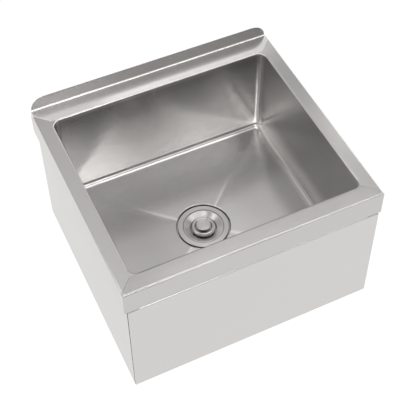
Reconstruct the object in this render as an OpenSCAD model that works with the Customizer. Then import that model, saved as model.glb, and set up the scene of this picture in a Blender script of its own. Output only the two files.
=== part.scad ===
// Floor-standing stainless mop sink: a folded deck with aprons and an upstand,
// a coved bowl with a creased floor, a skirt of folded panels and a lift-out
// basket strainer. Lengths are in millimetres. The origin is on the floor, under
// the middle of the sink; +X is to the right, +Y is towards the wall, +Z is up.

/* [Overall] */
// Width across the side aprons
sink_w = 560; // [500:1:640]
// Depth from the front apron to the wall side of the upstand
sink_d = 516; // [470:1:580]
// Thickness of the stainless sheet
sheet_t = 1.2; // [1:0.1:1.5]
// Outside radius of the folded edges
bend_r = 3.5; // [2.5:0.1:4.5]

/* [Deck] */
// Height of the front and side aprons
apron_h = 60; // [45:1:75]
// Width of the lip folded in along the bottom of the aprons
apron_return = 16; // [14:1:20]
// Radius of the upright corners of the aprons
apron_corner_r = 2.5; // [1.5:0.1:4]
// Height of the upstand above the deck
splash_h = 31; // [28:1:60]
// Radius of the upstand's top corners
splash_r = 29; // [10:1:30]
// Height of the hem folded down behind the upstand's top edge
hem_h = 10; // [6:1:15]
// Width of the deck strip at each side of the bowl
rim_side = 32; // [30:1:45]
// Width of the deck strip in front of the bowl
rim_front = 39; // [32:1:60]
// Width of the deck strip between the bowl and the upstand
rim_back = 48; // [36:1:70]
// Radius of the rounded edge where the deck turns down into the bowl
lip_r = 4; // [3:0.5:6]
// Depth of the lip that the bowl is welded to
lip_h = 10; // [8:1:16]

/* [Bowl] */
// Radius of the bowl's upright corners
bowl_corner_r = 16; // [14:1:30]
// Radius of the cove between the bowl's walls and floor
cove_r = 12; // [8:1:13]
// Depth of the bowl at the foot of its walls
bowl_depth = 236; // [200:1:240]
// Fall of the creased floor from the coves to its lowest point
floor_fall = 14; // [6:1:16]
// Depth of the strainer's round seat below the foot of the walls
seat_drop = 15.5; // [14:0.5:17]
// Gap between the strainer's gasket and the wall of the seat
seat_gap = 1.55; // [0.5:0.05:3]
// How much the seat widens from its floor upwards
seat_draft = 2.5; // [1:0.5:4]
// Gap between the strainer body and the edge of the drain hole
drain_gap = 0.5; // [0.3:0.1:1]

/* [Skirt] */
// How far the side panels stand in from the side aprons
skirt_inset = 6; // [4:0.5:10]
// Gap between the upstand's wall side and the skirt's back
back_inset = 11; // [8:1:20]
// Width of the flanges folded in along each panel
panel_flange = 18; // [14:1:20]
// Open seam between the front panel and each side panel
corner_seam = 2.4; // [1:0.1:3]
// Length of flange notched away at each end of a panel
flange_notch = 24; // [22:1:30]
// Gap between the apron lips and the back panel
lip_end_gap = 2.4; // [1:0.1:5]
// Width of the access opening in the back panel
access_w = 320; // [240:1:380]
// Height of the access opening in the back panel
access_h = 160; // [100:1:180]
// Height of the access opening's sill above the floor
access_sill = 60; // [40:1:80]
// Radius of the access opening's corners
access_corner_r = 14; // [6:1:20]

/* [Corner angles] */
// Width of each leg of the corner angles
angle_leg = 20; // [19:1:22]
// Thickness of the corner angles
angle_t = 1.5; // [1.5:0.1:2]
// Gap above and below each corner angle
angle_end_gap = 4; // [2:1:10]
// Weld studs in each leg
stud_count = 3; // [2:1:5]
// Diameter of the weld studs
stud_d = 5; // [4:0.5:5]
// Length of the weld studs
stud_len = 8; // [7:0.5:8.5]
// Distance of the studs from the corner
stud_edge = 11.5; // [11:0.5:13]
// Distance of the end studs from the ends of the angle
stud_end = 40; // [25:1:60]
// Width across the flats of the stud nuts
nut_af = 8; // [7:0.5:8]
// Thickness of the stud nuts
nut_t = 4; // [3:0.5:5]

/* [Damping pads] */
// Width of the damping pads
pad_w = 200; // [120:1:260]
// Height of the damping pads
pad_h = 90; // [60:1:120]
// Thickness of the damping pads
pad_t = 2; // [1:0.5:4]
// Height of the pads' centres above the foot of the bowl's walls
pad_rise = 110; // [80:1:120]

/* [Strainer body] */
// Radius of the strainer's flange, a 4 1/2 inch standard
flange_r = 57.15; // [56:0.05:58]
// Thickness of the flange
flange_t = 2; // [1.6:0.1:2.5]
// Radius of the rounded outer edge of the flange
flange_edge_r = 1.4; // [0.8:0.1:1.5]
// Wall thickness of the strainer body
body_t = 1.5; // [1.2:0.1:1.8]
// Depth of the rebate that the basket's rim rests in
rebate_depth = 1.6; // [1.4:0.1:2]
// Inside radius of the cup
cup_r = 42.5; // [42:0.1:43]
// Depth of the cup below the flange
cup_depth = 31.2; // [31:0.1:36]
// Outside radius of the threaded outlet
outlet_r = 23.9; // [23.5:0.1:24]
// Inside radius of the outlet
outlet_bore_r = 20.5; // [19.5:0.1:21]
// Length of the threaded outlet below the cup
outlet_len = 19.3; // [16:0.1:20]
// Width and height of the outlet's cross bars
bar_w = 3; // [2:0.5:4]
// Drop of the cross bars below the cup's floor
bar_drop = 2.5; // [2.2:0.1:4]

/* [Washers and nuts] */
// Thickness of the gasket under the flange
gasket_t = 2.5; // [2:0.1:3]
// How far the gasket shows around the flange
gasket_show = 0.8; // [0.4:0.1:1.2]
// Thickness of the fibre washer
fibre_t = 1.2; // [1:0.1:2]
// Thickness of the lock nut
lock_nut_t = 11.6; // [8:0.1:12]
// Radius of the lock nut
lock_nut_r = 54; // [52:0.5:56]
// Number of notches round the lock nut
lock_nut_notches = 8; // [6:1:12]
// Radius of the notches round the lock nut
notch_r = 5; // [3:0.5:6]
// Thickness of the outlet washer
outlet_washer_t = 3; // [2:0.1:3]
// Width across the flats of the coupling nut
coupling_af = 58; // [56:1:64]
// Length of the coupling nut
coupling_len = 22; // [20:1:24]
// Length of the outlet that the coupling nut covers
coupling_grip = 12; // [8:1:14]
// Outside radius of the tailpiece, a 1 1/2 inch standard
tail_r = 19.05; // [18:0.05:19.05]
// Wall thickness of the tailpiece
tail_t = 1; // [0.8:0.1:1.5]
// Thickness of the tailpiece's collar
tail_collar_t = 1.5; // [1:0.1:2]
// Outside radius of the thicker neck below the collar
tail_neck_r = 19.6; // [19.3:0.1:20]
// Length of the neck that shows below the coupling nut
tail_neck_show = 1; // [0.5:0.1:2]
// Length of the tailpiece with its collar
tail_len = 29; // [24:1:60]
// Gap between the tailpiece and the floor
tail_floor_gap = 4; // [2:1:8]

/* [Basket] */
// Radius of the basket's rim
basket_rim_r = 45; // [44:0.1:46]
// Width of the basket's flat rim
basket_rim_w = 2.5; // [1.5:0.1:3]
// Thickness of the basket's rim
basket_rim_t = 1.2; // [1:0.1:1.4]
// Thickness of the basket's sheet
basket_t = 1; // [0.8:0.1:1.2]
// Fall of the funnel from the rim to the cup
funnel_fall = 6; // [4:0.1:7]
// Outside radius of the perforated cup
basket_cup_r = 31; // [30:0.1:32]
// Depth of the perforated cup below the funnel
basket_cup_h = 13.2; // [12:0.1:13.5]
// Radius of the perforations
hole_r = 2; // [1.2:0.1:2.2]
// Holes in each row round the cup
wall_holes = 16; // [8:1:18]
// Radius of the inner ring of holes in the cup's bottom
hole_ring_inner = 13.5; // [12.5:0.5:14]
// Holes in the inner ring
inner_holes = 8; // [6:1:12]
// Radius of the outer ring of holes in the cup's bottom
hole_ring_outer = 23; // [21:0.5:25]
// Holes in the outer ring
outer_holes = 14; // [8:1:18]
// Outside radius of the post that guides the stem
post_r = 7; // [6:0.5:8]
// Radius of the post's foot on the cup's bottom
post_foot_r = 9.5; // [8:0.5:10]
// Thickness of the post's foot
post_foot_t = 1.5; // [1:0.1:2]

/* [Cap and stopper] */
// Outside radius of the cap
cap_r = 26.5; // [25:0.1:27]
// Radius of the section of the cap's raised ring
crown_r = 4.5; // [4:0.1:4.8]
// Height of the raised ring above the flange
crown_rise = 1.8; // [1:0.1:3]
// Depth of the cap's dish below the flange
dish_drop = 4.9; // [4.5:0.1:5.5]
// Radius of the knob
knob_r = 16.5; // [14:0.1:16.8]
// Thickness of the knob
knob_t = 4.5; // [4:0.1:7]
// Depth of the socket that the stem is fixed in
knob_socket = 2.5; // [2:0.1:3]
// Radius of the stem
stem_r = 4; // [3.5:0.1:4.5]
// Depth of the groove that holds the clip on the stem
groove_depth = 0.9; // [0.6:0.1:1.2]
// Length of the stem below the clip
stem_end = 1.3; // [1:0.1:1.5]
// Radius of the rubber stopper
seal_r = 24; // [23:0.1:26]
// Thickness of the rubber stopper
seal_t = 3; // [2.5:0.1:3]
// Radius of the metal disc on top of the stopper
disc_r = 20; // [16:0.1:22]
// Thickness of the metal disc on top of the stopper
disc_t = 1; // [0.8:0.1:1.2]
// Radius of the clip that holds the stopper on the stem
clip_r = 7; // [6:0.1:9]
// Thickness of the clip
clip_t = 0.8; // [0.6:0.1:1]

/* [Fits] */
// Gap round pieces that screw or slip together and don't move
fit_gap = 0.1; // [0.05:0.01:0.2]
// Gap round pieces that are laid in or clamped
loose_gap = 0.4; // [0.3:0.05:0.5]
// Gap round the stem in its guide
run_gap = 0.08; // [0.05:0.01:0.1]
// Gap that moving pieces keep at the ends of their travel
stop_gap = 0.3; // [0.2:0.05:0.5]

/* [Hidden] */
$fn = 96;

// How far a cutting shape runs past the face that it cuts
over = 1;

// The levels of the drain and the bowl, from the floor up
tail_top_z = tail_floor_gap + tail_len;
outlet_z = tail_top_z + outlet_washer_t;
outlet_top_z = outlet_z + outlet_len;
cup_z = outlet_top_z + body_t;
flange_z = cup_z + cup_depth;
seat_z = flange_z - flange_t - gasket_t;
seat_under_z = seat_z - sheet_t;
foot_z = seat_z + seat_drop;
deck_h = foot_z + bowl_depth;

// Fixed planes of the sink
front_y = -sink_d / 2;
wall_y = sink_d / 2;
splash_back_y = wall_y - sheet_t;
splash_face_y = splash_back_y - sheet_t;
inner_bend_r = bend_r - sheet_t;

// The bowl's opening and the middle of the drain
bowl_w = sink_w - 2 * rim_side;
bowl_front_y = front_y + rim_front;
bowl_back_y = splash_face_y - rim_back;
bowl_d = bowl_back_y - bowl_front_y;
bowl_y = (bowl_front_y + bowl_back_y) / 2;
bowl_top_z = deck_h - lip_h;

// The skirt
apron_z = deck_h - apron_h;
skirt_x = sink_w / 2 - skirt_inset;
skirt_back_y = wall_y - back_inset;
side_front_y = front_y + sheet_t + corner_seam;
angle_h = apron_z - 2 * sheet_t - 2 * angle_end_gap;
angle_z = sheet_t + angle_end_gap;

// The strainer, its hole and seat in the bowl, and what clamps it
rebate_z = flange_z - rebate_depth;
rebate_r = basket_rim_r + loose_gap;
cup_outer_r = cup_r + body_t;
gasket_r = flange_r + gasket_show;
seat_floor_r = gasket_r + seat_gap;
drain_r = rebate_r + body_t + drain_gap;
clamped_r = cup_outer_r + loose_gap;
washer_r = outlet_r - loose_gap;
tail_bore_r = tail_r - tail_t;
under_gasket_z = seat_under_z - gasket_t;
fibre_z = under_gasket_z - fibre_t;
coupling_z = outlet_z + coupling_grip - coupling_len;

// The basket's levels
rim_top_z = rebate_z + basket_rim_t;
funnel_r = basket_rim_r - basket_rim_w;
funnel_z = rim_top_z - funnel_fall;
basket_floor_z = funnel_z - basket_cup_h + basket_t;
basket_under_z = basket_floor_z - basket_t;
post_bore_r = stem_r + run_gap;
stem_hole_r = post_bore_r + loose_gap;
hole_rows = [2 * hole_r, basket_cup_h - 2 * hole_r];
dish_z = flange_z - dish_drop;
crown_z = flange_z + crown_rise - crown_r;
crown_mid_r = cap_r - crown_r;

// The stopper's levels with the knob pulled up; pushed down, the knob stops
// above the cap's dish as the seal stops above the cup's floor
disc_z = basket_under_z - stop_gap - disc_t;
seal_z = disc_z - seal_t;
stopper_travel = seal_z - cup_z - stop_gap;
knob_z = dish_z + stop_gap + stopper_travel;
clip_z = seal_z - clip_t;
stem_z = clip_z - stem_end;
groove_r = stem_r - groove_depth;
stem_seat_r = stem_r + fit_gap / 2;

steel = "silver";
bright_steel = "gainsboro";
rubber = "#1c1c1c";

// ---- Shapes used by several pieces ----

// A rectangle centred on the origin with rounded corners.
module rounded_rect(w, d, r) {
    square([w - 2 * r, d], center = true);
    square([w, d - 2 * r], center = true);
    for (x = [-1, 1], y = [-1, 1])
        translate([x * (w / 2 - r), y * (d / 2 - r)]) circle(r);
}

// Extrudes a section drawn in X and Z along Y, centred.
module along_y(length) {
    rotate([90, 0, 0]) linear_extrude(length, center = true) children();
}

// Extrudes a section drawn in Y and Z along X, centred.
module along_x(length) {
    rotate([90, 0, 90]) linear_extrude(length, center = true) children();
}

// A ring about the Z axis.
module ring(outer, inner, height) {
    difference() {
        cylinder(r = outer, h = height);
        translate([0, 0, -over]) cylinder(r = inner, h = height + 2 * over);
    }
}

// ---- Deck ----

// The outside of the deck, or its inside when it is shrunk by the sheet.
module deck_block(shrink) {
    r = bend_r - shrink;
    depth = splash_face_y - inner_bend_r - front_y;
    // The inside runs on past the upstand, so that the block is open there
    tail = shrink > 0 ? 2 * sheet_t + rim_back / 2 : 0;
    mid_y = front_y + depth / 2;
    intersection() {
        translate([0, mid_y, deck_h - apron_h / 2])
            along_y(depth + 2 * tail)
                rounded_rect(sink_w - 2 * shrink, apron_h - 2 * shrink, r);
        translate([0, mid_y + tail / 2, deck_h - apron_h / 2])
            along_x(sink_w)
                union() {
                    rounded_rect(depth + tail - 2 * shrink, apron_h - 2 * shrink, r);
                    translate([0, -apron_h / 2 + shrink])
                        square([depth / 2 + tail / 2 + shrink, apron_h - 2 * shrink]);
                }
        translate([0, 0, apron_z - over])
            linear_extrude(apron_h + 2 * over)
                union() {
                    translate([0, mid_y + tail / 2])
                        rounded_rect(sink_w - 2 * shrink, depth + tail - 2 * shrink,
                                     apron_corner_r - shrink);
                    translate([-sink_w / 2 + shrink, mid_y])
                        square([sink_w - 2 * shrink, depth / 2 + tail]);
                }
    }
}

// Section of the rounded edge and lip, with the bowl's wall at x = 0.
module lip_section() {
    translate([0, -lip_h]) square([sheet_t, lip_h - lip_r]);
    intersection() {
        difference() {
            translate([lip_r, -lip_r]) circle(lip_r);
            translate([lip_r, -lip_r]) circle(lip_r - sheet_t);
        }
        translate([0, -lip_r]) square([lip_r, lip_r]);
    }
}

// Sweeps a section round the bowl's opening; its x runs outwards from the wall.
module round_the_bowl() {
    straight_w = bowl_w - 2 * bowl_corner_r;
    straight_d = bowl_d - 2 * bowl_corner_r;
    translate([bowl_w / 2, 0, 0]) along_y(straight_d) children();
    translate([-bowl_w / 2, 0, 0]) mirror([1, 0, 0]) along_y(straight_d) children();
    translate([0, bowl_d / 2, 0]) along_x(straight_w) children();
    translate([0, -bowl_d / 2, 0]) mirror([0, 1, 0]) along_x(straight_w) children();
    for (i = [0 : 3])
        translate([(i == 0 || i == 3 ? 1 : -1) * straight_w / 2, (i < 2 ? 1 : -1) * straight_d / 2, 0])
            rotate([0, 0, i * 90])
                rotate_extrude(angle = 90)
                    translate([bowl_corner_r, 0]) children();
}

// Section through the fold at the upstand's foot, the upstand and its hem.
module splash_section() {
    fold_y = splash_face_y - inner_bend_r;
    fold_z = deck_h + inner_bend_r;
    intersection() {
        difference() {
            translate([fold_y, fold_z]) circle(bend_r);
            translate([fold_y, fold_z]) circle(inner_bend_r);
        }
        translate([fold_y, deck_h - sheet_t]) square([bend_r, bend_r]);
    }
    translate([splash_face_y, fold_z]) square([sheet_t, splash_h - inner_bend_r]);
}

// Outline of the upstand seen from the front, with its round top corners.
module splash_outline() {
    half = sink_w / 2 - bend_r;
    top_z = deck_h + splash_h;
    translate([-half, deck_h - 2 * sheet_t]) square([2 * half, splash_h + 2 * sheet_t - splash_r]);
    translate([-half + splash_r, deck_h]) square([2 * (half - splash_r), splash_h]);
    for (x = [-1, 1])
        translate([x * (half - splash_r), top_z - splash_r]) circle(splash_r);
}

module upstand() {
    length = sink_w - 2 * bend_r;
    intersection() {
        along_x(length) splash_section();
        translate([0, splash_face_y, 0]) along_y(4 * bend_r) splash_outline();
    }
    translate([0, splash_back_y + sheet_t / 2, deck_h + splash_h - hem_h])
        linear_extrude(hem_h - sheet_t / 2)
            square([length - 2 * splash_r, sheet_t], center = true);
    translate([0, splash_back_y + sheet_t / 2, deck_h + splash_h - sheet_t / 2])
        rotate([0, 90, 0])
            cylinder(d = sheet_t, h = length - 2 * splash_r, center = true);
}

module deck() {
    open_r = bowl_corner_r + lip_r;
    color(steel) {
        difference() {
            deck_block(0);
            deck_block(sheet_t);
            // The way down between the folded lips of the aprons
            translate([-sink_w / 2 + apron_return, front_y + apron_return, apron_z - over])
                cube([sink_w - 2 * apron_return, sink_d, apron_h / 2]);
            // The lips stop short of the back panel
            translate([-sink_w / 2 + sheet_t, skirt_back_y - sheet_t - lip_end_gap, apron_z - over])
                cube([sink_w - 2 * sheet_t, sink_d, apron_h / 2]);
            translate([0, bowl_y, deck_h - 2 * sheet_t])
                linear_extrude(3 * sheet_t)
                    rounded_rect(bowl_w + 2 * lip_r, bowl_d + 2 * lip_r, open_r);
        }
        translate([0, bowl_y, deck_h]) round_the_bowl() lip_section();
        upstand();
    }
}

// ---- Bowl ----

// Section of a trough with rounded bottom edges; z = 0 is its floor.
module trough_section(w, r, h) {
    translate([-w / 2, r]) square([w, h - r]);
    translate([-w / 2 + r, 0]) square([w - 2 * r, h]);
    for (x = [-1, 1]) translate([x * (w / 2 - r), r]) circle(r);
}

// A block with rounded upright corners and a rounded bottom edge.
module coved_block(w, d, corner, cove, h) {
    translate([0, 0, cove]) linear_extrude(h - cove) rounded_rect(w, d, corner);
    along_y(d - 2 * corner) trough_section(w, cove, h);
    along_x(w - 2 * corner) trough_section(d, cove, h);
    for (x = [-1, 1], y = [-1, 1])
        translate([x * (w / 2 - corner), y * (d / 2 - corner), 0])
            rotate_extrude()
                intersection() {
                    union() {
                        translate([0, 0]) square([corner - cove, h]);
                        translate([0, cove]) square([corner, h - cove]);
                        translate([corner - cove, cove]) circle(cove);
                    }
                    square([corner, h]);
                }
}

// The hollow of four falls that meet in creases from the corners to the middle.
module creased_fall(w, d, fall) {
    intersection() {
        along_y(d) polygon([[-w / 2, over], [w / 2, over], [w / 2, 0], [0, -fall], [-w / 2, 0]]);
        along_x(w) polygon([[-d / 2, over], [d / 2, over], [d / 2, 0], [0, -fall], [-d / 2, 0]]);
    }
}

// The bowl's hollow, or its outside when it is grown by the sheet.
module bowl_block(grow) {
    flat_w = bowl_w - 2 * bowl_corner_r;
    flat_d = bowl_d - 2 * bowl_corner_r;
    top = grow > 0 ? bowl_top_z : deck_h;
    translate([0, bowl_y, foot_z - grow]) {
        coved_block(bowl_w + 2 * grow, bowl_d + 2 * grow, bowl_corner_r + grow,
                    cove_r + grow, top - foot_z + grow);
        creased_fall(flat_w, flat_d, floor_fall);
        translate([0, 0, -seat_drop])
            cylinder(r1 = seat_floor_r + grow, r2 = seat_floor_r + seat_draft + grow, h = seat_drop);
    }
}

module bowl() {
    color(steel)
        difference() {
            bowl_block(sheet_t);
            bowl_block(0);
            translate([0, bowl_y, seat_under_z - over]) cylinder(r = drain_r, h = seat_drop);
        }
}

// ---- Skirt ----

// Section of a folded panel: its face is at x = 0 and its flanges run along +X.
module panel_section(h) {
    intersection() {
        difference() {
            translate([panel_flange, h / 2]) rounded_rect(2 * panel_flange, h, bend_r);
            translate([panel_flange, h / 2])
                rounded_rect(2 * (panel_flange - sheet_t), h - 2 * sheet_t, inner_bend_r);
        }
        square([panel_flange, h]);
    }
}

// A folded panel that stands on the floor and faces -Y, its flanges notched at the ends.
module panel(length, h) {
    difference() {
        rotate([0, 0, 90]) mirror([0, 1, 0]) along_y(length) panel_section(h);
        for (x = [-1, 1])
            translate([x * length / 2, sheet_t + panel_flange, h / 2])
                cube([2 * flange_notch, 2 * panel_flange, h + 2 * over], center = true);
    }
}

side_len = skirt_back_y - side_front_y;
side_mid_y = (skirt_back_y + side_front_y) / 2;
back_half = skirt_x - sheet_t - stop_gap;

module skirt_front() {
    color(steel) translate([0, front_y, 0]) panel(2 * skirt_x, apron_z);
}

module skirt_left() {
    color(steel)
        translate([-skirt_x, side_mid_y, 0]) rotate([0, 0, -90]) panel(side_len, apron_z);
}

module skirt_right() {
    color(steel)
        translate([skirt_x, side_mid_y, 0]) rotate([0, 0, 90]) panel(side_len, apron_z);
}

module skirt_back() {
    h = deck_h - sheet_t;
    color(steel)
        difference() {
            translate([0, skirt_back_y, 0]) rotate([0, 0, 180]) panel(2 * back_half, h);
            translate([0, skirt_back_y, access_sill + access_h / 2])
                along_y(6 * sheet_t) rounded_rect(access_w, access_h, access_corner_r);
        }
}

// ---- Corner angles, studs and nuts ----

// Where the inner faces of two panels meet, for a corner named by its signs.
function corner_at(sx, sy) = [sx * (skirt_x - sheet_t),
                              sy < 0 ? front_y + sheet_t : skirt_back_y - sheet_t];

// Heights of the studs in one leg.
stud_step = (angle_h - 2 * stud_end) / (stud_count - 1);
stud_levels = [for (i = [0 : stud_count - 1]) angle_z + stud_end + i * stud_step];

// Puts what is drawn for the front left corner in the corner named by its signs.
module in_corner(sx, sy) {
    translate(corner_at(sx, sy))
        mirror([sx > 0 ? 1 : 0, 0, 0])
            mirror([0, sy > 0 ? 1 : 0, 0])
                children();
}

// Every stud of one corner: the first leg lies along X and the second along Y.
module at_studs() {
    for (z = stud_levels) {
        translate([stud_edge, 0, z]) rotate([-90, 0, 0]) children();
        translate([0, stud_edge, z]) rotate([0, 90, 0]) children();
    }
}

module corner_angle(sx, sy) {
    color(steel)
        in_corner(sx, sy)
            difference() {
                translate([0, 0, angle_z])
                    linear_extrude(angle_h)
                        difference() {
                            square(angle_leg);
                            translate([angle_t, angle_t]) square(angle_leg);
                        }
                at_studs()
                    translate([0, 0, -over])
                        cylinder(d = stud_d + 2 * loose_gap, h = angle_t + 2 * over);
            }
}

module panel_studs() {
    color(steel)
        for (sx = [-1, 1], sy = [-1, 1])
            in_corner(sx, sy) at_studs() cylinder(d = stud_d, h = stud_len);
}

module stud_nuts() {
    color(bright_steel)
        for (sx = [-1, 1], sy = [-1, 1])
            in_corner(sx, sy)
                at_studs()
                    translate([0, 0, angle_t])
                        difference() {
                            cylinder(d = nut_af / cos(30), h = nut_t, $fn = 6);
                            translate([0, 0, -over])
                                cylinder(d = stud_d + 2 * fit_gap, h = nut_t + 2 * over);
                        }
}

module damping_pads() {
    z = foot_z + pad_rise;
    side_x = bowl_w / 2 + sheet_t + pad_t / 2;
    side_y = bowl_d / 2 + sheet_t + pad_t / 2;
    color("dimgray") {
        for (x = [-1, 1]) translate([x * side_x, bowl_y, z]) cube([pad_t, pad_w, pad_h], center = true);
        for (y = [-1, 1]) translate([0, bowl_y + y * side_y, z]) cube([pad_w, pad_t, pad_h], center = true);
    }
}

// ---- Strainer body and what clamps it ----

// Puts what is drawn about the Z axis over the drain.
module at_drain(z = 0) {
    translate([0, bowl_y, z]) children();
}

// A rectangle of a turned section, from radii and heights.
module band(r1, r2, z1, z2) {
    translate([r1, z1]) square([r2 - r1, z2 - z1]);
}

// Section of the flange, its outer edge rounded on top.
module flange_section() {
    band(rebate_r, flange_r - flange_edge_r, flange_z - flange_t, flange_z);
    band(rebate_r, flange_r, flange_z - flange_t, flange_z - flange_edge_r);
    intersection() {
        translate([flange_r - flange_edge_r, flange_z - flange_edge_r]) circle(flange_edge_r);
        band(0, flange_r, flange_z - flange_t, flange_z);
    }
}

module strainer_body() {
    color(bright_steel)
        at_drain() {
            rotate_extrude() {
                flange_section();
                band(rebate_r, rebate_r + body_t, rebate_z - body_t, flange_z);
                band(cup_r, rebate_r + body_t, rebate_z - body_t, rebate_z);
                band(cup_r, cup_outer_r, outlet_top_z, rebate_z);
                band(outlet_bore_r, cup_outer_r, outlet_top_z, cup_z);
                band(outlet_bore_r, outlet_r, outlet_z, cup_z);
            }
            for (turn = [0, 90])
                rotate([0, 0, turn])
                    translate([0, 0, cup_z - bar_drop - bar_w / 2])
                        cube([2 * outlet_bore_r + body_t, bar_w, bar_w], center = true);
        }
}

module flange_gasket() {
    color(rubber)
        at_drain(seat_z) ring(gasket_r, drain_r + fit_gap, gasket_t);
}

module under_gasket() {
    color(rubber)
        at_drain(under_gasket_z) ring(flange_r, clamped_r, gasket_t);
}

module fibre_washer() {
    color("sienna")
        at_drain(fibre_z) ring(flange_r - gasket_show, clamped_r, fibre_t);
}

module lock_nut() {
    notch_at = lock_nut_r + notch_r / 3;
    color("gray")
        at_drain(fibre_z - lock_nut_t)
            difference() {
                ring(lock_nut_r, cup_outer_r + fit_gap, lock_nut_t);
                for (i = [0 : lock_nut_notches - 1])
                    rotate([0, 0, i * 360 / lock_nut_notches])
                        translate([notch_at, 0, -over]) cylinder(r = notch_r, h = lock_nut_t + 2 * over);
            }
}

module outlet_washer() {
    color("ivory")
        at_drain(tail_top_z) ring(washer_r, tail_bore_r, outlet_washer_t);
}

module tailpiece() {
    color(bright_steel)
        at_drain()
            rotate_extrude() {
                band(tail_bore_r, washer_r, tail_top_z - tail_collar_t, tail_top_z);
                band(tail_bore_r, tail_neck_r, coupling_z - tail_neck_show, tail_top_z);
                band(tail_bore_r, tail_r, tail_floor_gap, tail_top_z);
            }
}

module coupling_nut() {
    lip_z = tail_top_z - tail_collar_t;
    color("gray")
        at_drain()
            difference() {
                translate([0, 0, coupling_z])
                    cylinder(d = coupling_af / cos(30), h = coupling_len, $fn = 6);
                translate([0, 0, coupling_z - over])
                    cylinder(r = tail_neck_r + fit_gap, h = coupling_len + 2 * over);
                translate([0, 0, lip_z])
                    cylinder(r = outlet_r + fit_gap, h = coupling_len);
            }
}

// ---- Basket, with its post and cap ----

// Section of the basket: rim, funnel, cup wall and cup bottom.
module basket_section() {
    inner_r = basket_cup_r - basket_t;
    slope = funnel_fall / (funnel_r - inner_r);
    slant_t = basket_t * sqrt(1 + slope * slope);
    polygon([[basket_rim_r, rebate_z],
             [basket_rim_r, rim_top_z],
             [funnel_r, rim_top_z],
             [inner_r, funnel_z],
             [inner_r, basket_floor_z],
             [stem_hole_r, basket_floor_z],
             [stem_hole_r, basket_under_z],
             [basket_cup_r, basket_under_z],
             [basket_cup_r, funnel_z + slope * basket_t - slant_t],
             [funnel_r - (basket_rim_t - slant_t) / slope, rebate_z]]);
}

// A ring of holes through the cup's bottom.
module bottom_holes(ring_r, count) {
    for (i = [0 : count - 1])
        rotate([0, 0, i * 360 / count])
            translate([ring_r, 0, basket_under_z - over])
                cylinder(r = hole_r, h = basket_t + 2 * over);
}

module basket() {
    color(bright_steel)
        at_drain()
            difference() {
                rotate_extrude() basket_section();
                for (row = [0, 1], i = [0 : wall_holes - 1])
                    rotate([0, 0, (i + row / 2) * 360 / wall_holes])
                        translate([basket_cup_r - basket_t - over, 0, basket_floor_z + hole_rows[row]])
                            rotate([0, 90, 0]) cylinder(r = hole_r, h = basket_t + 2 * over);
                bottom_holes(hole_ring_inner, inner_holes);
                bottom_holes(hole_ring_outer, outer_holes);
            }
}

module basket_post() {
    color(bright_steel)
        at_drain()
            rotate_extrude() {
                band(post_bore_r, post_r, basket_floor_z, dish_z - basket_t);
                band(post_bore_r, post_foot_r, basket_floor_z, basket_floor_z + post_foot_t);
            }
}

module basket_cap() {
    dish_r = crown_mid_r - crown_r;
    color(bright_steel)
        at_drain()
            rotate_extrude() {
                intersection() {
                    translate([crown_mid_r, crown_z])
                        difference() {
                            circle(crown_r);
                            circle(crown_r - basket_t);
                        }
                    band(0, cap_r, crown_z, crown_z + crown_r);
                }
                band(cap_r - basket_t, cap_r, dish_z, crown_z);
                band(dish_r, dish_r + basket_t, dish_z - basket_t, crown_z);
                band(stem_hole_r, dish_r + basket_t, dish_z - basket_t, dish_z);
            }
}

// ---- Stopper ----

module stopper_stem() {
    color(bright_steel)
        at_drain()
            rotate_extrude() {
                band(0, stem_r, seal_z, knob_z + knob_socket);
                band(0, groove_r, clip_z, seal_z);
                band(0, stem_r, stem_z, clip_z);
            }
}

module knob() {
    edge = knob_t / 2;
    color(bright_steel)
        at_drain(knob_z)
            rotate_extrude()
                difference() {
                    union() {
                        band(0, knob_r - edge, 0, knob_t);
                        intersection() {
                            translate([knob_r - edge, edge]) circle(edge);
                            band(0, knob_r, 0, knob_t);
                        }
                    }
                    band(-over, stem_seat_r, -over, knob_socket + fit_gap / 2);
                }
}

module stopper_disc() {
    color(bright_steel) at_drain(disc_z) ring(disc_r, stem_seat_r, disc_t);
}

module stopper_seal() {
    color(rubber) at_drain(seal_z) ring(seal_r, stem_seat_r, seal_t);
}

module stem_clip() {
    slot = 2 * groove_r;
    color("gray")
        at_drain(clip_z)
            difference() {
                ring(clip_r, groove_r + fit_gap / 2, clip_t);
                translate([0, -slot / 2, -over]) cube([clip_r + over, slot, clip_t + 2 * over]);
            }
}

deck();
bowl();
skirt_front();
skirt_left();
skirt_right();
skirt_back();
corner_angle(-1, -1);  // corner_angle_front_left
corner_angle(1, -1);  // corner_angle_front_right
corner_angle(-1, 1);  // corner_angle_back_left
corner_angle(1, 1);  // corner_angle_back_right
panel_studs();
stud_nuts();
damping_pads();
strainer_body();
flange_gasket();
under_gasket();
fibre_washer();
lock_nut();
outlet_washer();
tailpiece();
coupling_nut();
basket();
basket_post();
basket_cap();
stopper_stem();
knob();
stopper_disc();
stopper_seal();
stem_clip();
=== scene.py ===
"""Stainless mop sink with a basket strainer, on a pale studio floor. Metres throughout."""
import math

import bpy
import numpy as np
from mathutils import Matrix, Vector


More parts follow.
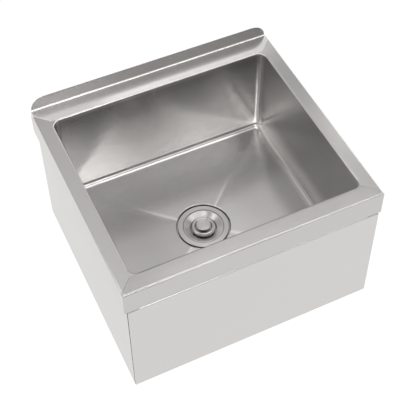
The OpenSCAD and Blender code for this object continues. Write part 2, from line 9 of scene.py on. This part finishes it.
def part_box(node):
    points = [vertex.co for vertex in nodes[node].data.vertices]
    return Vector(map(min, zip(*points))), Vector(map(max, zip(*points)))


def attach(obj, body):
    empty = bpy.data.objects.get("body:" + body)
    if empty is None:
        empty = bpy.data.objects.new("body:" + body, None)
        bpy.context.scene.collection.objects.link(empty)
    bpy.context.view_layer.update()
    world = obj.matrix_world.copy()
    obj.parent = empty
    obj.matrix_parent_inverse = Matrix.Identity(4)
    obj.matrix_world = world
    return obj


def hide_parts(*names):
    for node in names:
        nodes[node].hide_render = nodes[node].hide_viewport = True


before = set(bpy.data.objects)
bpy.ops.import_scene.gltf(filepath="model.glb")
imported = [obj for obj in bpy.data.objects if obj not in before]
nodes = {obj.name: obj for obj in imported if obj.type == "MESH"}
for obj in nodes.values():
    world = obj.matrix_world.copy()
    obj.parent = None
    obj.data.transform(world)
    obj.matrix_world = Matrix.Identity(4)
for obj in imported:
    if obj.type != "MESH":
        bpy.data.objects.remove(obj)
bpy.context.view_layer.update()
scene = bpy.context.scene

# ---------------------------------------------------------------- sizes, in metres
BOWL_LO, BOWL_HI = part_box("bowl")
DECK_LO, DECK_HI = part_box("deck")
SHEET = 0.0012
DECK_Z = 0.335          # top of the deck's strips
LIP_Z = 0.325           # where the bowl's walls meet the deck's rounded edge

# The bowl's inner faces
OPENING_FRONT = BOWL_LO.y + SHEET
OPENING_BACK = BOWL_HI.y - SHEET
BOWL_HALF_W = BOWL_HI.x - SHEET
BOWL_HALF_D = (OPENING_BACK - OPENING_FRONT) / 2
DRAIN_X = 0.0
DRAIN_Y = (OPENING_FRONT + OPENING_BACK) / 2
CORNER_R = 0.016        # upright corners
COVE_R = 0.012          # bend between walls and floor
FOOT_Z = 0.099          # floor at the feet of the walls
FALL = 0.014            # from there to the drain, if the floor went on to it

# The pressed creases from the floor's corners to the drain
CREASE_W = BOWL_HALF_W - CORNER_R
CREASE_D = BOWL_HALF_D - CORNER_R
CREASE_SOFT = 0.012     # rounding of the creases, as a share of the half width
CREASE_DEPTH = 0.0006
CREASE_WIDTH = 0.0048
CREASE_FADE = 0.66      # share of the way out at which the pressed line ends
CREASE_FADE_POWER = 1.2

# The seat round the drain's hole, and the strainer on it
SEAT_Z = 0.0835
SEAT_R = 0.0595
SEAT_EDGE_R = 0.0604
SEAT_ROUND = 0.0018
SEAT_LEDGE = 0.004
HOLE_R = 0.0474
BASKET_GAP_R = 0.0452   # the gap between the basket and the flange
GAP_Z = 0.0864


# ---------------------------------------------------------------- node helpers
class Tree:
    """Short names for building a node tree."""

    def __init__(self, tree):
        self.tree = tree

    def node(self, kind, inputs=None, **props):
        n = self.tree.nodes.new(kind)
        for key, value in props.items():
            setattr(n, key, value)
        for key, value in (inputs or {}).items():
            self.put(n.inputs[key], value)
        return n

    def put(self, socket, value):
        if isinstance(value, bpy.types.NodeSocket):
            self.tree.links.new(value, socket)
        else:
            socket.default_value = value

    def math(self, operation, a, b=0.0, clamp=False):
        return self.node("ShaderNodeMath", {0: a, 1: b}, operation=operation, use_clamp=clamp).outputs[0]

    def mix(self, factor, a, b, data="FLOAT"):
        n = self.node("ShaderNodeMix", data_type=data)
        slots = {"FLOAT": (0, 2, 3, 0), "RGBA": (0, 6, 7, 2)}[data]
        self.put(n.inputs[slots[0]], factor)
        self.put(n.inputs[slots[1]], a)
        self.put(n.inputs[slots[2]], b)
        return n.outputs[slots[3]]

    def ramp(self, value, lo, hi, smooth=True):
        """0 at lo and 1 at hi, in a soft or a straight rise."""
        n = self.node("ShaderNodeMapRange", {"Value": value, "From Min": lo, "From Max": hi},
                      interpolation_type="SMOOTHSTEP" if smooth else "LINEAR")
        return n.outputs["Result"]

    def noise(self, vector, scale, detail=3.0):
        n = self.node("ShaderNodeTexNoise", {"Vector": vector, "Scale": scale, "Detail": detail,
                                             "Roughness": 0.55})
        return n.outputs["Fac"]

    def sum_of(self, a, share_a, b, share_b):
        """a and b added up, each times its share."""
        return self.math("ADD", self.math("MULTIPLY", a, share_a), self.math("MULTIPLY", b, share_b))

    def swing(self, value, width):
        """A value from 0 to 1 turned into one that swings about 0, as wide as given."""
        return self.math("MULTIPLY", self.math("SUBTRACT", value, 0.5), width)

    def place(self):
        return self.node("ShaderNodeTexCoord").outputs["Object"]

    def xyz(self, vector):
        return self.node("ShaderNodeSeparateXYZ", {0: vector}).outputs


def new_group(name, inputs, outputs):
    """A node group with the named (kind, name, default) inputs and (kind, name) outputs."""
    g = bpy.data.node_groups.new(name, "ShaderNodeTree")
    for kind, label, default in inputs:
        s = g.interface.new_socket(label, in_out="INPUT", socket_type="NodeSocket" + kind)
        s.default_value = default
    for kind, label in outputs:
        g.interface.new_socket(label, in_out="OUTPUT", socket_type="NodeSocket" + kind)
    t = Tree(g)
    return g, t, t.node("NodeGroupInput"), t.node("NodeGroupOutput")


def new_material(name):
    """A material with an empty node tree."""
    m = bpy.data.materials.new(name)
    m.use_nodes = True
    m.node_tree.nodes.clear()
    return m, Tree(m.node_tree)


def tint(colour, share):
    """The colour times share, at most 1, with full alpha."""
    return tuple(min(1.0, c * share) for c in colour) + (1.0,)


# ---------------------------------------------------------------- sheet metal
ALONG_X, ALONG_Y, ALONG_Z = 0.0, 1.0, 2.0

# Streaks of the grain: repeats per metre across it and along it, and the share of each
STREAKS = ((2600.0, 12.0, 0.3), (900.0, 6.0, 0.4), (240.0, 2.5, 0.3))
STREAK_RELIEF = 0.00012
SHEET_WAVES = 5.0       # slow waves in the sheet, per metre
WAVE_RELIEF = 0.00022
GRAIN_STRENGTH = 0.16


def grain_axis(t, along):
    """Masks for grain along X, Y and Z."""
    is_x = t.math("LESS_THAN", along, 0.5)
    is_z = t.math("GREATER_THAN", along, 1.5)
    is_y = t.math("SUBTRACT", 1.0, t.math("ADD", is_x, is_z))
    return is_x, is_y, is_z


def grain_group():
    """Brushed-sheet grain: fine and broad streaks drawn out along one axis, faint blotches and waves.
    Along is 0 for grain along X, 1 for grain along Y and 2 for grain along Z."""
    g, t, gin, gout = new_group(
        "sheet_grain",
        [("Float", "Along", 0.0), ("Float", "Strength", 1.0)],
        [("Float", "Streak"), ("Float", "Blotch"), ("Vector", "Normal")],
    )
    place = t.place()
    masks = grain_axis(t, gin.outputs["Along"])
    streak = 0.0
    for cross, length, share in STREAKS:
        stretch = t.node("ShaderNodeCombineXYZ", {i: t.mix(masks[i], cross, length) for i in range(3)})
        drawn = t.node("ShaderNodeVectorMath", {0: place, 1: stretch.outputs[0]}, operation="MULTIPLY")
        streak = t.math("ADD", streak, t.math("MULTIPLY", t.noise(drawn.outputs[0], 1.0, 2.0), share))
    blotch = t.sum_of(t.noise(place, 7.0, 3.0), 0.6, t.noise(place, 31.0, 4.0), 0.4)
    strength = gin.outputs["Strength"]
    lines = t.node("ShaderNodeBump", {"Strength": strength, "Distance": STREAK_RELIEF, "Height": streak})
    waves = t.node("ShaderNodeBump", {"Strength": strength, "Distance": WAVE_RELIEF,
                                      "Height": t.noise(place, SHEET_WAVES, 1.0), "Normal": lines.outputs[0]})
    t.put(gout.inputs["Streak"], streak)
    t.put(gout.inputs["Blotch"], blotch)
    t.put(gout.inputs["Normal"], waves.outputs[0])
    return g


GRAIN = grain_group()


def lined_metal(t, lines, base, roughness, anisotropy, normal):
    """Metal whose sheen is drawn out across the fine lines on it; lines is their direction."""
    surface = t.node("ShaderNodeNewGeometry").outputs["Normal"]
    across = t.node("ShaderNodeVectorMath", {0: lines, 1: surface}, operation="CROSS_PRODUCT")
    bsdf = t.node("ShaderNodeBsdfPrincipled", {
        "Base Color": base, "Roughness": roughness, "Metallic": 1.0, "Anisotropic": anisotropy,
        "Tangent": across.outputs[0], "Normal": normal})
    t.node("ShaderNodeOutputMaterial", {"Surface": bsdf.outputs[0]})


def brushed(name, colour, rough, along, painted_light=None):
    """Satin sheet metal. along is the grain's axis, or a function of (tree, place, normal) that gives it,
    and the last argument, where there is one, a function that gives painted light and shade from place to
    place."""
    m, t = new_material(name)
    co = t.node("ShaderNodeTexCoord")
    place, normal = t.xyz(co.outputs["Object"]), t.xyz(co.outputs["Normal"])
    if callable(along):
        along = along(t, place, normal)
    grain = t.node("ShaderNodeGroup", node_tree=GRAIN)
    t.put(grain.inputs["Along"], along)
    grain.inputs["Strength"].default_value = GRAIN_STRENGTH
    streak, blotch = grain.outputs["Streak"], grain.outputs["Blotch"]
    tone = t.math("ADD", t.swing(streak, 0.12), t.swing(blotch, 0.05))
    base = t.mix(t.math("ADD", tone, 0.5, clamp=True), tint(colour, 0.86), tint(colour, 1.12), "RGBA")
    if painted_light:
        # Painted light and shade, multiplied into the metal's colour
        shade = painted_light(t, place, normal)
        base = t.node("ShaderNodeVectorMath", {0: base, 1: shade}, operation="MULTIPLY").outputs[0]
    roughness = t.math("ADD", rough, t.math("ADD", t.swing(streak, 0.16), t.swing(blotch, 0.08)))
    axis = t.node("ShaderNodeCombineXYZ", dict(enumerate(grain_axis(t, along))))
    lined_metal(t, axis.outputs[0], base, roughness, 0.55, grain.outputs["Normal"])
    return m


def facing(t, n, axis):
    """1 where the surface faces along the axis either way."""
    return t.math("GREATER_THAN", t.math("ABSOLUTE", n[axis]), 0.7)


def past_bowl(t, p):
    """How far a place on the deck lies past the bowl's opening: to a side, to the front and to the back."""
    aside = t.math("SUBTRACT", t.math("ABSOLUTE", p[0]), BOWL_HALF_W)
    ahead = t.math("SUBTRACT", OPENING_FRONT, p[1])
    behind = t.math("SUBTRACT", p[1], OPENING_BACK)
    return aside, ahead, behind


def deck_grain(t, p, n):
    """Front and back strips and faces run along X, side strips and side faces along Y; mitred at the
    corners."""
    aside, ahead, behind = past_bowl(t, p)
    side_strip = t.math("GREATER_THAN", aside, t.math("MAXIMUM", ahead, behind))
    either = t.math("MAXIMUM", side_strip, facing(t, n, 0))
    return t.math("MULTIPLY", either, t.math("SUBTRACT", 1.0, facing(t, n, 1)))


# How bright each part of the deck is painted, as a share of the plain finish: painted light and shade, and
# the dark weld line along the mitres
BACK_STRIP = (1.58, 1.34)       # left end, right end
FRONT_STRIP = (0.80, 1.0)       # left end, from FRONT_STRIP_PLAIN_X on
FRONT_STRIP_PLAIN_X = -0.05
RIGHT_STRIP = (1.03, 1.22)      # from the middle back, front end
UPSTAND = (0.53, 0.42)          # left end, right end
APRONS = 0.88
MITRES = 0.72


def deck_painted_light(t, p, n):
    """Painted light and shade: the back strip is painted brighter than the rest, most at its left end, the
    front strip darker at its left end and the right strip brighter at its front; the upstand and the aprons
    are painted darker, and a dark weld line runs along each mitre."""
    aside, ahead, behind = past_bowl(t, p)
    end = t.math("MAXIMUM", ahead, behind)
    back_strip = t.math("MULTIPLY", t.ramp(t.math("SUBTRACT", behind, aside), -0.002, 0.002),
                        t.ramp(behind, 0.001, 0.004))
    front_strip = t.math("MULTIPLY", t.math("GREATER_THAN", ahead, aside), t.ramp(ahead, 0.001, 0.004))
    right_strip = t.math("MULTIPLY", t.math("GREATER_THAN", aside, end), t.ramp(p[0], 0.0, 0.01))
    mitre = t.math("MULTIPLY", t.ramp(t.math("ABSOLUTE", t.math("SUBTRACT", end, aside)), 0.0013, 0.0004),
                   t.ramp(t.math("MINIMUM", end, aside), 0.001, 0.005))
    upstand = t.ramp(p[2], DECK_Z + 0.001, DECK_Z + 0.004)
    apron = t.ramp(p[2], DECK_Z - 0.002, DECK_Z - 0.005)
    rightwards = t.ramp(p[0], DECK_LO.x, DECK_HI.x, smooth=False)
    shade = t.mix(back_strip, 1.0, t.mix(rightwards, *BACK_STRIP))
    shade = t.mix(front_strip, shade, t.mix(t.ramp(p[0], DECK_LO.x, FRONT_STRIP_PLAIN_X), *FRONT_STRIP))
    shade = t.math("MULTIPLY", shade, t.mix(mitre, 1.0, MITRES))
    forwards = t.ramp(p[1], 0.0, OPENING_FRONT)
    shade = t.mix(right_strip, shade, t.math("MULTIPLY", shade, t.mix(forwards, *RIGHT_STRIP)))
    shade = t.mix(upstand, shade, t.mix(rightwards, *UPSTAND))
    return t.mix(apron, shade, APRONS)


def bowl_grain(t, p, n):
    """Side walls run along Y, the front and back walls and the floor along X."""
    return facing(t, n, 0)


# Painted light and shade on the bowl, the same way
END_WALL_FOOT = (1.10, 1.58)    # left, right
END_WALL_TOP = (0.62, 0.74)     # left, right
END_WALL_REACH = 0.20           # where left and right begin, from the middle
SIDE_WALL = (1.58, 0.82)        # foot, and from SIDE_WALL_BAND of the height up
SIDE_WALL_BAND = 0.32
FLOOR = 0.94
PAINTED_HIGHLIGHT_ALL = 0.12               # added all round the drain
PAINTED_HIGHLIGHT_CREASE = 0.26            # added along the creases
PAINTED_HIGHLIGHT_REACH = (0.60, 0.24)     # share of the way out where the painted highlight starts and is full


def bowl_painted_light(t, p, n):
    """Painted light and shade: the walls are painted brighter towards their feet, and painted highlights
    lie along the creases and round the drain.
    """
    wall = t.ramp(t.math("ABSOLUTE", n[2]), 0.8, 0.3)
    rise = t.ramp(p[2], FOOT_Z + 0.010, LIP_Z, smooth=False)
    rightwards = t.ramp(p[0], -END_WALL_REACH, END_WALL_REACH, smooth=False)
    end_wall = t.mix(rise, t.mix(rightwards, *END_WALL_FOOT), t.mix(rightwards, *END_WALL_TOP))
    side_wall = t.mix(t.ramp(rise, 0.0, SIDE_WALL_BAND), *SIDE_WALL)
    walls = t.mix(facing(t, n, 0), end_wall, side_wall)
    # Painted highlights along the creases and round the drain
    across = t.math("DIVIDE", t.math("ABSOLUTE", p[0]), CREASE_W)
    deep = t.math("DIVIDE", t.math("ABSOLUTE", t.math("SUBTRACT", p[1], DRAIN_Y)), CREASE_D)
    share = t.math("MAXIMUM", across, deep)
    away = t.math("ABSOLUTE", t.math("SUBTRACT", across, deep))
    wedge = t.ramp(away, t.math("ADD", 0.012, t.math("MULTIPLY", share, 0.16)), 0.0)
    near = t.ramp(share, *PAINTED_HIGHLIGHT_REACH)
    painted_highlight = t.math("MULTIPLY", near, t.math("ADD", t.math("MULTIPLY", wedge, PAINTED_HIGHLIGHT_CREASE), PAINTED_HIGHLIGHT_ALL))
    return t.mix(wall, t.math("ADD", FLOOR, painted_highlight), walls)


# ---------------------------------------------------------------- turned and moulded pieces
RINGS = 640.0           # tool marks, repeats per metre
RING_RELIEF = 0.00008


def turned(name, colour, rough, anisotropy, gap_r=0.0):
    """Metal turned on a lathe about the drain's axis: fine and broad rings, sheen drawn out across them,
    and a dark line of painted shade in the gap at gap_r."""
    m, t = new_material(name)
    place = t.place()
    x, y, z = t.xyz(place)
    dx = t.math("SUBTRACT", x, DRAIN_X)
    dy = t.math("SUBTRACT", y, DRAIN_Y)
    r = t.math("SQRT", t.math("ADD", t.math("MULTIPLY", dx, dx), t.math("MULTIPLY", dy, dy)))
    marks = t.node("ShaderNodeCombineXYZ", {0: t.math("MULTIPLY", r, RINGS), 2: t.math("MULTIPLY", z, RINGS)})
    bands = t.node("ShaderNodeCombineXYZ", {0: t.math("MULTIPLY", r, RINGS / 4)})
    rings = t.sum_of(t.noise(marks.outputs[0], 1.0, 2.0), 0.6, t.noise(bands.outputs[0], 1.0, 1.0), 0.4)
    smear = t.noise(place, 60.0)
    base = t.mix(t.sum_of(rings, 0.75, smear, 0.25), tint(colour, 0.80), tint(colour, 1.18), "RGBA")
    if gap_r:
        # Painted shade: a dark line in the gap between the basket and the flange
        gap_shade = t.ramp(t.math("ABSOLUTE", t.math("SUBTRACT", r, gap_r)), 0.0009, 0.0003)
        level = t.ramp(z, GAP_Z - 0.003, GAP_Z)
        base = t.mix(t.math("MULTIPLY", gap_shade, level), base, (0.05, 0.05, 0.05, 1.0), "RGBA")
    roughness = t.math("ADD", rough - 0.06, t.math("MULTIPLY", smear, 0.12))
    bump = t.node("ShaderNodeBump", {"Strength": 0.12, "Distance": RING_RELIEF, "Height": rings})
    round_axis = t.node("ShaderNodeCombineXYZ", {0: t.math("MULTIPLY", dy, -1.0), 1: dx})
    lined_metal(t, round_axis.outputs[0], base, roughness, anisotropy, bump.outputs[0])
    return m


def mottled(name, colour, rough, metallic=0.0, spread=0.12, relief=0.0002):
    """Plain moulded, pressed or plated material with fine mottling and a matching bump."""
    m, t = new_material(name)
    place = t.place()
    fine = t.noise(place, 1080.0)
    mottle = t.sum_of(fine, 0.5, t.noise(place, 90.0, 4.0), 0.5)
    base = t.mix(mottle, tint(colour, 1 - spread), tint(colour, 1 + spread), "RGBA")
    roughness = t.math("ADD", rough - 0.08, t.math("MULTIPLY", mottle, 0.16))
    bump = t.node("ShaderNodeBump", {"Strength": 0.2, "Distance": relief, "Height": fine})
    bsdf = t.node("ShaderNodeBsdfPrincipled", {"Base Color": base, "Roughness": roughness,
                                               "Metallic": metallic, "Normal": bump.outputs[0]})
    t.node("ShaderNodeOutputMaterial", {"Surface": bsdf.outputs[0]})
    return m


# ---------------------------------------------------------------- what each piece is made of
STEEL = (0.620, 0.614, 0.607)
# The side panels get the same steel with painted shade, 6 per cent darker
SHADED_SIDE_STEEL = tuple(c * 0.94 for c in STEEL)

M_DECK = brushed("deck_steel", STEEL, 0.22, deck_grain, deck_painted_light)
M_BOWL = brushed("bowl_steel", STEEL, 0.22, bowl_grain, bowl_painted_light)
M_FRONT = brushed("front_panel_steel", STEEL, 0.24, ALONG_X)
M_SIDE = brushed("side_panel_steel", SHADED_SIDE_STEEL, 0.24, ALONG_Y)
M_ANGLE = brushed("angle_steel", (0.58, 0.58, 0.57), 0.38, ALONG_Z)
M_TURNED = turned("turned_steel", (0.68, 0.672, 0.664), 0.32, anisotropy=0.7, gap_r=BASKET_GAP_R)
M_CHROME = turned("chromed_brass", (0.75, 0.75, 0.76), 0.12, anisotropy=0.2)
M_ZINC = mottled("zinc_plate", (0.5, 0.51, 0.52), 0.42, metallic=1.0)
M_RUBBER = mottled("black_rubber", (0.02, 0.02, 0.02), 0.7)
M_PAD = mottled("damping_rubber", (0.045, 0.045, 0.047), 0.85, spread=0.3, relief=0.0005)
M_FIBRE = mottled("red_fibre", (0.26, 0.11, 0.05), 0.8, spread=0.25)
M_PLASTIC = mottled("white_plastic", (0.75, 0.74, 0.70), 0.4, spread=0.04)

MATERIAL_OF = {
    "deck": M_DECK, "bowl": M_BOWL,
    "skirt_front": M_FRONT, "skirt_back": M_FRONT, "skirt_left": M_SIDE, "skirt_right": M_SIDE,
    "corner_angle_front_left": M_ANGLE, "corner_angle_front_right": M_ANGLE,
    "corner_angle_back_left": M_ANGLE, "corner_angle_back_right": M_ANGLE,
    "panel_studs": M_ZINC, "stud_nuts": M_ZINC, "damping_pads": M_PAD,
    "strainer_body": M_TURNED, "flange_gasket": M_RUBBER, "under_gasket": M_RUBBER,
    "fibre_washer": M_FIBRE, "lock_nut": M_ZINC, "outlet_washer": M_PLASTIC,
    "tailpiece": M_CHROME, "coupling_nut": M_ZINC,
    "basket": M_TURNED, "basket_post": M_TURNED, "basket_cap": M_TURNED,
    "stopper_stem": M_CHROME, "knob": M_TURNED, "stopper_disc": M_TURNED,
    "stopper_seal": M_RUBBER, "stem_clip": M_ZINC,
}


def dress(obj, material):
    obj.data.materials.clear()
    obj.data.materials.append(material)


for name, material in MATERIAL_OF.items():
    dress(nodes[name], material)


# ---------------------------------------------------------------- bowl
def ring_course(half_w, half_d, corner, straight=48, arc=14):
    """Core points and outward normals round a rounded rectangle, counter-clockwise. A point at a distance
    d from the core lies on the rectangle's outline when d is the corner radius; on the straights the core
    points crowd towards the corners (cosine spacing)."""
    core, normal = [], []
    cx, cy = half_w - corner, half_d - corner
    corners = np.array([(cx, cy), (-cx, cy), (-cx, -cy), (cx, -cy)])
    for i in range(4):
        a = np.radians(90 * i + np.linspace(0, 90, arc + 1))
        core.append(np.repeat(corners[i][None], arc + 1, 0))
        normal.append(np.stack([np.cos(a), np.sin(a)], 1))
        t = ((1 - np.cos(np.pi * np.arange(1, straight) / straight)) / 2)[:, None]
        core.append(corners[i] * (1 - t) + corners[(i + 1) % 4] * t)
        normal.append(np.repeat(normal[-1][-1][None], straight - 1, 0))
    return np.concatenate(core), np.concatenate(normal)


def floor_height(x, y):
    """Height of the creased floor: it falls from the walls' feet to the drain by the larger of the two
    distances from the drain, each as a share of its half width, rounded where the two are equal. Along
    those four creases a shallow pressed line runs, deepest at the drain and gone before the corners."""
    a, b = np.abs(x) / CREASE_W, np.abs(y) / CREASE_D
    share = (a + b) / 2 + np.sqrt(((a - b) / 2) ** 2 + CREASE_SOFT ** 2)
    share = np.minimum(share, 1.0)
    away = np.abs(a - b) / math.hypot(1 / CREASE_W, 1 / CREASE_D)
    fade = np.clip(1 - share / CREASE_FADE, 0, 1) ** CREASE_FADE_POWER
    return FOOT_Z - FALL * (1 - share) - CREASE_DEPTH * fade * np.exp(-(away / CREASE_WIDTH) ** 2)


def bowl_skin(grow):
    """Rows of points down one skin of the bowl: straight walls, a quarter-circle cove, the creased floor
    along rays to the drain, a rounded edge, the seat's slightly open wall and its flat to the hole.
    The outer skin is the inner one moved out by grow."""
    wall_rows, cove_rows, floor_rows = 9, 12, 42
    floor_crowding = 1.15
    core, normal = ring_course(BOWL_HALF_W, BOWL_HALF_D, CORNER_R)
    rows = []

    def row(xy, z):
        rows.append(np.column_stack([xy, np.broadcast_to(z, len(xy))]))

    for z in np.linspace(LIP_Z, FOOT_Z + COVE_R, wall_rows):
        row(core + normal * (CORNER_R + grow), z)
    for a in np.radians(np.linspace(0, 90, cove_rows + 1))[1:]:
        row(core + normal * (CORNER_R - COVE_R + (COVE_R + grow) * math.cos(a)),
            FOOT_Z - grow + (COVE_R + grow) * (1 - math.sin(a)))
    foot = core + normal * (CORNER_R - COVE_R)
    ray = foot / np.linalg.norm(foot, axis=1)[:, None]
    edge_xy = ray * (SEAT_EDGE_R + SEAT_ROUND)
    edge_z = floor_height(edge_xy[:, 0], edge_xy[:, 1])
    for s in 1 - (1 - np.linspace(0, 1, floor_rows + 1)[1:]) ** floor_crowding:
        xy = foot * (1 - s) + edge_xy * s
        row(xy, floor_height(xy[:, 0], xy[:, 1]) - grow)
    for a in np.radians((20, 40, 60, 80)):
        row(ray * (SEAT_EDGE_R + grow + SEAT_ROUND * (1 - math.sin(a))),
            edge_z - grow - SEAT_ROUND * (1 - math.cos(a)))
    for r in (SEAT_R + grow, SEAT_R + grow - SEAT_LEDGE, HOLE_R):
        row(ray * r, SEAT_Z - grow)
    return np.array(rows)


def closed_shell(name, rows, sharp=40):
    """A mesh from rows of points that closes both round each row and from the last row to the first. Its
    faces are turned over where the volume that they enclose comes out negative."""
    n, m = rows.shape[:2]
    at = np.arange(n * m).reshape(n, m)
    down, on = np.roll(at, -1, 0), np.roll(at, -1, 1)
    faces = np.stack([at, down, np.roll(down, -1, 1), on], -1).reshape(-1, 4)
    points = rows.reshape(-1, 3)
    a, b, c, d = (points[faces[:, i]] for i in range(4))
    if np.sum(np.cross(c - a, d - b) * (a + b + c + d)) < 0:
        faces = faces[:, ::-1]
    mesh = bpy.data.meshes.new(name)
    mesh.vertices.add(len(points))
    mesh.vertices.foreach_set("co", points.astype(np.float32).ravel())
    mesh.loops.add(faces.size)
    mesh.loops.foreach_set("vertex_index", faces.astype(np.int32).ravel())
    mesh.polygons.add(len(faces))
    mesh.polygons.foreach_set("loop_start", np.arange(0, faces.size, 4, dtype=np.int32))
    mesh.polygons.foreach_set("loop_total", np.full(len(faces), 4, dtype=np.int32))
    mesh.update(calc_edges=True)
    mesh.validate()
    mesh.shade_smooth()
    mesh.set_sharp_from_angle(angle=math.radians(sharp))
    piece = bpy.data.objects.new(name, mesh)
    scene.collection.objects.link(piece)
    return piece


bowl_rows = np.concatenate([bowl_skin(0.0), bowl_skin(SHEET)[::-1]])
bowl_rows[..., 1] += DRAIN_Y
bowl_shell = closed_shell("bowl_shell", bowl_rows)
dress(bowl_shell, M_BOWL)
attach(bowl_shell, "sink_body")
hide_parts("bowl")


# ---------------------------------------------------------------- floor
FLOOR_HALF = 9.0


def lit_paper(name):
    """White seamless paper under even light, bright enough to show no shadow."""
    m, t = new_material(name)
    glow = t.mix(t.noise(t.place(), 3.0), (1.0, 0.992, 0.985, 1.0), (1.0, 1.0, 1.0, 1.0), "RGBA")
    bsdf = t.node("ShaderNodeBsdfPrincipled", {"Base Color": (0.03, 0.03, 0.03, 1.0), "Roughness": 0.9,
                                               "Specular IOR Level": 0.0, "Emission Color": glow,
                                               "Emission Strength": 1.0})
    t.node("ShaderNodeOutputMaterial", {"Surface": bsdf.outputs[0]})
    return m


floor_mesh = bpy.data.meshes.new("floor")
floor_mesh.from_pydata([(-FLOOR_HALF, -FLOOR_HALF, 0), (FLOOR_HALF, -FLOOR_HALF, 0),
                        (FLOOR_HALF, FLOOR_HALF, 0), (-FLOOR_HALF, FLOOR_HALF, 0)], [], [(0, 1, 2, 3)])
floor = bpy.data.objects.new("floor", floor_mesh)
scene.collection.objects.link(floor)
dress(floor, lit_paper("floor_white"))


# ---------------------------------------------------------------- camera
PHOTO_PX = 416
FOCAL_PX = 1028.1
CENTRE_PX = (225.0, 158.0)      # where the camera's axis meets the photograph
SENSOR_MM = 36.0
AZIMUTH, ELEVATION, ROLL = -26.6, 49.2, 0.8
RIGHT_OF_ORIGIN, ABOVE_ORIGIN, DISTANCE = 0.0505, 0.2055, 2.3558
NUDGE_Y = -0.0012


def look_matrix(azimuth, elevation, roll):
    """Camera axes as columns: right, up, back."""
    a, e, r = (math.radians(v) for v in (azimuth, elevation, roll))
    back = Vector((math.sin(a) * math.cos(e), -math.cos(a) * math.cos(e), math.sin(e)))
    right = Vector((math.cos(a), math.sin(a), 0.0))
    up = back.cross(right)
    rolled_right = right * math.cos(r) + up * math.sin(r)
    rolled_up = up * math.cos(r) - right * math.sin(r)
    return Matrix((rolled_right, rolled_up, back)).transposed()


camera_data = bpy.data.cameras.new("camera")
camera = bpy.data.objects.new("camera", camera_data)
scene.collection.objects.link(camera)
scene.camera = camera
camera_data.sensor_width = SENSOR_MM
camera_data.lens = FOCAL_PX / PHOTO_PX * SENSOR_MM
camera_data.shift_x = (PHOTO_PX / 2 - CENTRE_PX[0]) / PHOTO_PX
camera_data.shift_y = (CENTRE_PX[1] - PHOTO_PX / 2) / PHOTO_PX
camera_data.clip_end = 50
axes = look_matrix(AZIMUTH, ELEVATION, ROLL)
stand = axes @ Vector((RIGHT_OF_ORIGIN, ABOVE_ORIGIN, DISTANCE)) + Vector((0, NUDGE_Y, 0))
camera.matrix_world = Matrix.Translation(stand) @ axes.to_4x4()


# ---------------------------------------------------------------- light
WARM = (1.0, 0.982, 0.972)
HANG_Z = 1.3

# Softboxes: middle x and y, width, depth, and brightness per unit of area
SOFTBOXES = {
    "overhead_box": (0.325, -0.025, 1.05, 0.25, 4.0),
    "left_box": (-0.725, 0.225, 0.50, 0.45, 2.2),
    "front_box": (-0.025, -1.275, 0.60, 0.35, 5.7),
    "front_right_box": (0.675, -1.275, 0.35, 0.25, 2.4),
    "back_box": (0.50, 1.225, 0.70, 0.25, 1.0),
    "right_box": (1.025, 0.725, 0.35, 0.25, 1.2),
}

# The studio's walls: brightness at these heights above the horizon, in degrees, and DIM at the others
HEIGHTS = (0, 20, 35, 50, 65, 90)
DIM = 0.2
STUDIO = {"right": {20: 3.6}, "left": {20: 2.9}, "back": {50: 0.8, 65: 0.95}, "front": {35: 1.8}}
BRIGHTEST = max(max(glow.values()) for glow in STUDIO.values())


def softbox(name, x, y, width, depth, brightness):
    """A rectangular light that hangs level over the sink and shines down."""
    lamp = bpy.data.lights.new(name, "AREA")
    lamp.shape = "RECTANGLE"
    lamp.size, lamp.size_y = width, depth
    lamp.energy = math.pi * width * depth * brightness
    lamp.color = WARM
    hung = bpy.data.objects.new(name, lamp)
    scene.collection.objects.link(hung)
    hung.location = (x, y, HANG_Z)
    hung.visible_camera = False


def studio_side(t, height, side):
    """One side's brightness, as a share of the brightest, joined by straight lines between the heights."""
    n = t.node("ShaderNodeValToRGB", {"Fac": height})
    n.color_ramp.interpolation = "LINEAR"
    elements = n.color_ramp.elements
    for i, degrees in enumerate(HEIGHTS):
        if i == 0:
            element = elements[0]
        elif i == len(HEIGHTS) - 1:
            element = elements[-1]
        else:
            element = elements.new(degrees / 90)
        element.position = degrees / 90
        level = STUDIO[side].get(degrees, DIM) / BRIGHTEST
        element.color = (*(level * c for c in WARM), 1.0)
    return n.outputs["Color"]


def studio_world(name):
    """Four walls that blend into each other round the corners, by the share of depth in the direction."""
    world = bpy.data.worlds.new(name)
    world.use_nodes = True
    world.node_tree.nodes.clear()
    t = Tree(world.node_tree)
    x, y, z = t.xyz(t.node("ShaderNodeTexCoord").outputs["Generated"])
    height = t.math("DIVIDE", t.math("ARCSINE", t.math("MAXIMUM", z, 0.0)), math.pi / 2)
    across, deep = t.math("MULTIPLY", x, x), t.math("MULTIPLY", y, y)
    depth_share = t.math("DIVIDE", deep, t.math("MAXIMUM", t.math("ADD", across, deep), 1e-6))
    sideways = t.mix(t.math("GREATER_THAN", x, 0.0), studio_side(t, height, "left"),
                     studio_side(t, height, "right"), "RGBA")
    lengthways = t.mix(t.math("GREATER_THAN", y, 0.0), studio_side(t, height, "front"),
                       studio_side(t, height, "back"), "RGBA")
    sky = t.node("ShaderNodeBackground", {"Color": t.mix(depth_share, sideways, lengthways, "RGBA"),
                                          "Strength": BRIGHTEST})
    t.node("ShaderNodeOutputWorld", {"Surface": sky.outputs[0]})
    return world


for name, lamp in SOFTBOXES.items():
    softbox(name, *lamp)
scene.world = studio_world("studio")

scene.view_settings.view_transform = "Standard"
scene.view_settings.look = "None"
